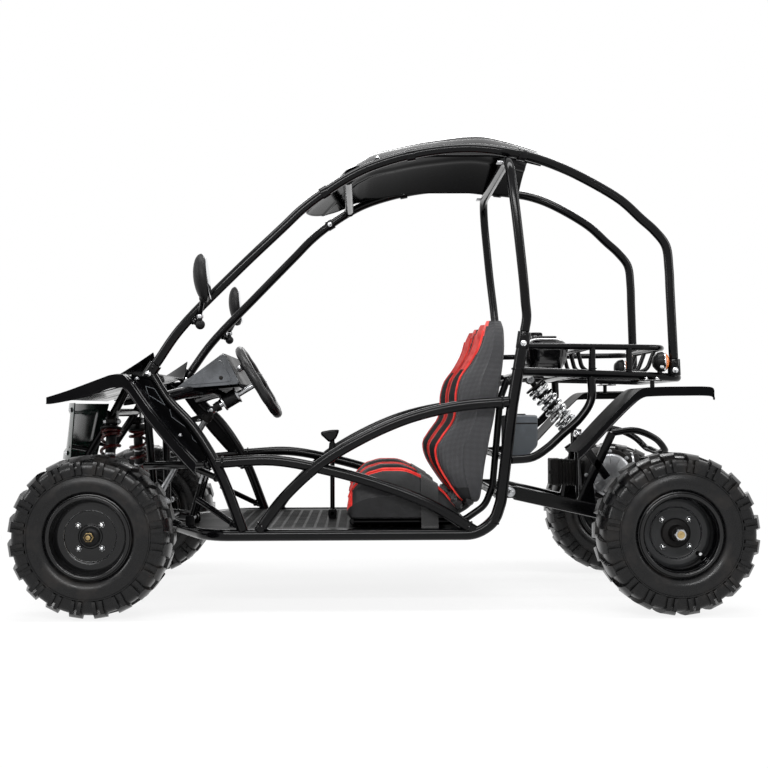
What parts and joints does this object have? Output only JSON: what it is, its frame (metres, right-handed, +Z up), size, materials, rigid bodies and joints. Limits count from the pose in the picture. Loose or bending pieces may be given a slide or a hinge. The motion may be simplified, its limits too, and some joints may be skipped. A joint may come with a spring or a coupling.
{
  "type": "off road go kart",
  "caption": "Off road go kart with a tube cage, side-by-side bucket seats, sprung suspension, steered front wheels, a live rear axle and a luggage rack.",
  "frame": {"origin": "on the ground, midway between the axles, in the kart's middle plane", "axes": "+X from the nose towards the tail, +Y towards the kart's right side, +Z up"},
  "size_m": [1.8694, 1.1, 1.2928],
  "materials": {
    "frame_tube": "gloss black powder coat",
    "rim": "satin black paint",
    "pipe": "heatproof black paint",
    "panel": "gloss black moulding",
    "nose": "gloss moulding, black with a dark green tint",
    "plastic": "fine-grained black moulding",
    "button": "gloss red",
    "hose": "black cover",
    "grip": "soft black foam grip",
    "tyre": "black rubber",
    "steel": "zinc plated",
    "chrome": "bright chrome",
    "alloy": "cast, satin",
    "spring_coat": "red coated spring",
    "seat_cover": "black mesh with red leather-look edges",
    "webbing": "black woven strap"
  },
  "bodies": {
    "chassis": {"floor_frame": "frame_tube", "side_frame_left": "frame_tube", "side_frame_right": "frame_tube", "main_hoop": "frame_tube", "roof_frame": "frame_tube", "front_frame": "frame_tube", "rear_frame": "frame_tube", "roof_visor": "panel", "front_cowl": "panel", "nose_cover": "nose", "dash_housing": "panel", "front_fender_left": "panel", "front_fender_right": "panel", "rear_fender_left": "panel", "rear_fender_right": "panel", "seat_cushion_left": "seat_cover", "seat_cushion_right": "seat_cover", "seat_back_left": "seat_cover", "seat_back_right": "seat_cover", "seat_belts": "webbing", "fuel_tank": "plastic", "battery_box": "plastic", "brake_cable": "hose"},
    "steering_wheel": {"steering_wheel": "grip"},
    "lower_shaft": {"steering_lower_shaft": "steel"},
    "rack": {"steering_rack": "steel"},
    "tie_rod_left": {"tie_rod_left": "steel"},
    "tie_rod_right": {"tie_rod_right": "steel"},
    "arm_left": {"front_arm_left": "frame_tube"},
    "arm_right": {"front_arm_right": "frame_tube"},
    "knuckle_left": {"knuckle_left": "steel"},
    "knuckle_right": {"knuckle_right": "steel"},
    "shock_left": {"front_shock_body_left": "steel"},
    "shock_right": {"front_shock_body_right": "steel"},
    "spring_left": {"front_spring_left": "spring_coat"},
    "spring_right": {"front_spring_right": "spring_coat"},
    "front_wheel_left": {"front_tyre_left": "tyre", "front_rim_left": "rim"},
    "front_wheel_right": {"front_tyre_right": "tyre", "front_rim_right": "rim"},
    "rear_carrier": {"swing_arm": "frame_tube", "engine": "alloy", "exhaust": "pipe", "drive_chain": "steel"},
    "rear_shock": {"rear_shock_body": "chrome"},
    "rear_rod": {"rear_shock_rod": "steel", "rear_spring": "chrome"},
    "rear_wheels": {"rear_axle": "steel", "rear_tyre_left": "tyre", "rear_tyre_right": "tyre", "rear_rim_left": "rim", "rear_rim_right": "rim"},
    "throttle": {"throttle_pedal": "frame_tube"},
    "brake": {"brake_pedal": "frame_tube"},
    "shifter": {"shift_lever": "frame_tube"},
    "mirror_left": {"mirror_left": "plastic"},
    "mirror_right": {"mirror_right": "plastic"},
    "key": {"ignition_key": "steel"},
    "kill_switch": {"kill_button": "button"},
    "filler_cap": {"fuel_cap": "plastic"}
  },
  "joints": [
    {"name": "steering_turn", "type": "hinge", "parent": "chassis", "child": "steering_wheel", "pos_m": [-0.33672, -0.20007, 0.5916], "axis": [-0.8599, 0, -0.5104], "range_deg": [-44, 44]},
    {"name": "lower_shaft_turn", "type": "hinge", "parent": "chassis", "child": "lower_shaft", "pos_m": [-0.46409, -0.20007, 0.516], "axis": [-0.512, 0.4144, -0.7524], "range_deg": [-45, 45]},
    {"name": "rack_slide", "type": "slide", "parent": "chassis", "child": "rack", "axis": [0, 1, 0], "range_m": [-0.038, 0.038]},
    {"name": "arm_left_swing", "type": "hinge", "parent": "chassis", "child": "arm_left", "pos_m": [-0.74264, -0.15029, 0.2444], "axis": [-1, 0, 0], "range_deg": [-4, 7], "stiffness_Nm_per_rad": 1400, "springref_deg": -3.44},
    {"name": "arm_right_swing", "type": "hinge", "parent": "chassis", "child": "arm_right", "pos_m": [-0.74264, 0.15029, 0.2444], "axis": [1, 0, 0], "range_deg": [-4, 7], "stiffness_Nm_per_rad": 1400, "springref_deg": -3.44},
    {"name": "knuckle_left_turn", "type": "hinge", "parent": "arm_left", "child": "knuckle_left", "pos_m": [-0.732, -0.34345, 0.203], "axis": [0, 0, 1], "range_deg": [-23, 23]},
    {"name": "knuckle_right_turn", "type": "hinge", "parent": "arm_right", "child": "knuckle_right", "pos_m": [-0.732, 0.34345, 0.203], "axis": [0, 0, 1], "range_deg": [-23, 23]},
    {"name": "tie_rod_left_slide", "type": "slide", "parent": "arm_left", "child": "tie_rod_left", "axis": [0, 1, 0], "range_m": [-0.038, 0.038]},
    {"name": "tie_rod_right_slide", "type": "slide", "parent": "arm_right", "child": "tie_rod_right", "axis": [0, 1, 0], "range_m": [-0.038, 0.038]},
    {"name": "front_wheel_left_spin", "type": "hinge", "parent": "knuckle_left", "child": "front_wheel_left", "pos_m": [-0.732, -0.461, 0.203], "axis": [0, 1, 0], "continuous": true},
    {"name": "front_wheel_right_spin", "type": "hinge", "parent": "knuckle_right", "child": "front_wheel_right", "pos_m": [-0.732, 0.461, 0.203], "axis": [0, 1, 0], "continuous": true},
    {"name": "shock_left_swing", "type": "hinge", "parent": "chassis", "child": "shock_left", "pos_m": [-0.732, -0.20745, 0.486], "axis": [-1, 0, 0], "range_deg": [-1, 1.5]},
    {"name": "shock_right_swing", "type": "hinge", "parent": "chassis", "child": "shock_right", "pos_m": [-0.732, 0.20745, 0.486], "axis": [1, 0, 0], "range_deg": [-1, 1.5]},
    {"name": "shock_left_stroke", "type": "slide", "parent": "shock_left", "child": "spring_left", "axis": [0, 0.2867, 0.958], "range_m": [-0.012, 0.018], "deforming": ["front_spring_left"]},
    {"name": "shock_right_stroke", "type": "slide", "parent": "shock_right", "child": "spring_right", "axis": [0, -0.2867, 0.958], "range_m": [-0.012, 0.018], "deforming": ["front_spring_right"]},
    {"name": "swing_arm_swing", "type": "hinge", "parent": "chassis", "child": "rear_carrier", "pos_m": [0.3455, 0, 0.2904], "axis": [0, -1, 0], "range_deg": [-3, 6], "stiffness_Nm_per_rad": 6000, "springref_deg": -2.86},
    {"name": "rear_wheels_spin", "type": "hinge", "parent": "rear_carrier", "child": "rear_wheels", "pos_m": [0.732, 0, 0.203], "axis": [0, 1, 0], "continuous": true},
    {"name": "rear_shock_swing", "type": "hinge", "parent": "chassis", "child": "rear_shock", "pos_m": [0.42456, 0, 0.6], "axis": [0, -1, 0], "range_deg": [-0.5, 1]},
    {"name": "rear_shock_stroke", "type": "slide", "parent": "rear_shock", "child": "rear_rod", "axis": [-0.6481, 0, 0.7615], "range_m": [-0.018, 0.03], "deforming": ["rear_spring"]},
    {"name": "throttle_press", "type": "hinge", "parent": "chassis", "child": "throttle", "pos_m": [-0.51533, -0.14291, 0.224], "axis": [0, -1, 0], "range_deg": [0, 16], "stiffness_Nm_per_rad": 4, "springref_deg": -8.59},
    {"name": "brake_press", "type": "hinge", "parent": "chassis", "child": "brake", "pos_m": [-0.51533, -0.24433, 0.224], "axis": [0, -1, 0], "range_deg": [0, 14], "stiffness_Nm_per_rad": 8, "springref_deg": -8.59},
    {"name": "shift_swing", "type": "hinge", "parent": "chassis", "child": "shifter", "pos_m": [-0.14201, 0, 0.222], "axis": [0, 1, 0], "range_deg": [-10, 10]},
    {"name": "mirror_left_turn", "type": "hinge", "parent": "chassis", "child": "mirror_left", "pos_m": [-0.47287, -0.38954, 0.7362], "axis": [0, 0, 1], "range_deg": [-25, 25]},
    {"name": "mirror_right_turn", "type": "hinge", "parent": "chassis", "child": "mirror_right", "pos_m": [-0.47287, 0.38954, 0.7362], "axis": [0, 0, 1], "range_deg": [-25, 25]},
    {"name": "key_turn", "type": "hinge", "parent": "chassis", "child": "key", "pos_m": [-0.395, -0.05532, 0.636], "axis": [0.8982, 0, 0.4396], "range_deg": [0, 80]},
    {"name": "kill_press", "type": "slide", "parent": "chassis", "child": "kill_switch", "axis": [-0.8982, 0, -0.4396], "range_m": [0, 0.004], "stiffness_N_per_m": 600, "springref_m": -0.002},
    {"name": "cap_turn", "type": "hinge", "parent": "chassis", "child": "filler_cap", "pos_m": [0.44213, 0, 0.733], "axis": [0, 0, 1], "range_deg": [0, 90]}
  ],
  "couplings": [
    {"joint": "lower_shaft_turn", "follows": "steering_turn", "ratio": 1},
    {"joint": "rack_slide", "follows": "steering_turn", "m_per_rad": -0.0474},
    {"joint": "knuckle_left_turn", "follows": "steering_turn", "ratio": -0.5},
    {"joint": "knuckle_right_turn", "follows": "steering_turn", "ratio": -0.5},
    {"joint": "tie_rod_left_slide", "follows": "steering_turn", "m_per_rad": -0.0474},
    {"joint": "tie_rod_right_slide", "follows": "steering_turn", "m_per_rad": -0.0474},
    {"joint": "shock_left_swing", "follows": "arm_left_swing", "ratio": 0.137},
    {"joint": "shock_left_stroke", "follows": "arm_left_swing", "m_per_rad": 0.124},
    {"joint": "shock_right_swing", "follows": "arm_right_swing", "ratio": 0.137},
    {"joint": "shock_right_stroke", "follows": "arm_right_swing", "m_per_rad": 0.124},
    {"joint": "rear_shock_swing", "follows": "swing_arm_swing", "ratio": 0.0919},
    {"joint": "rear_shock_stroke", "follows": "swing_arm_swing", "m_per_rad": 0.2609}
  ]
}
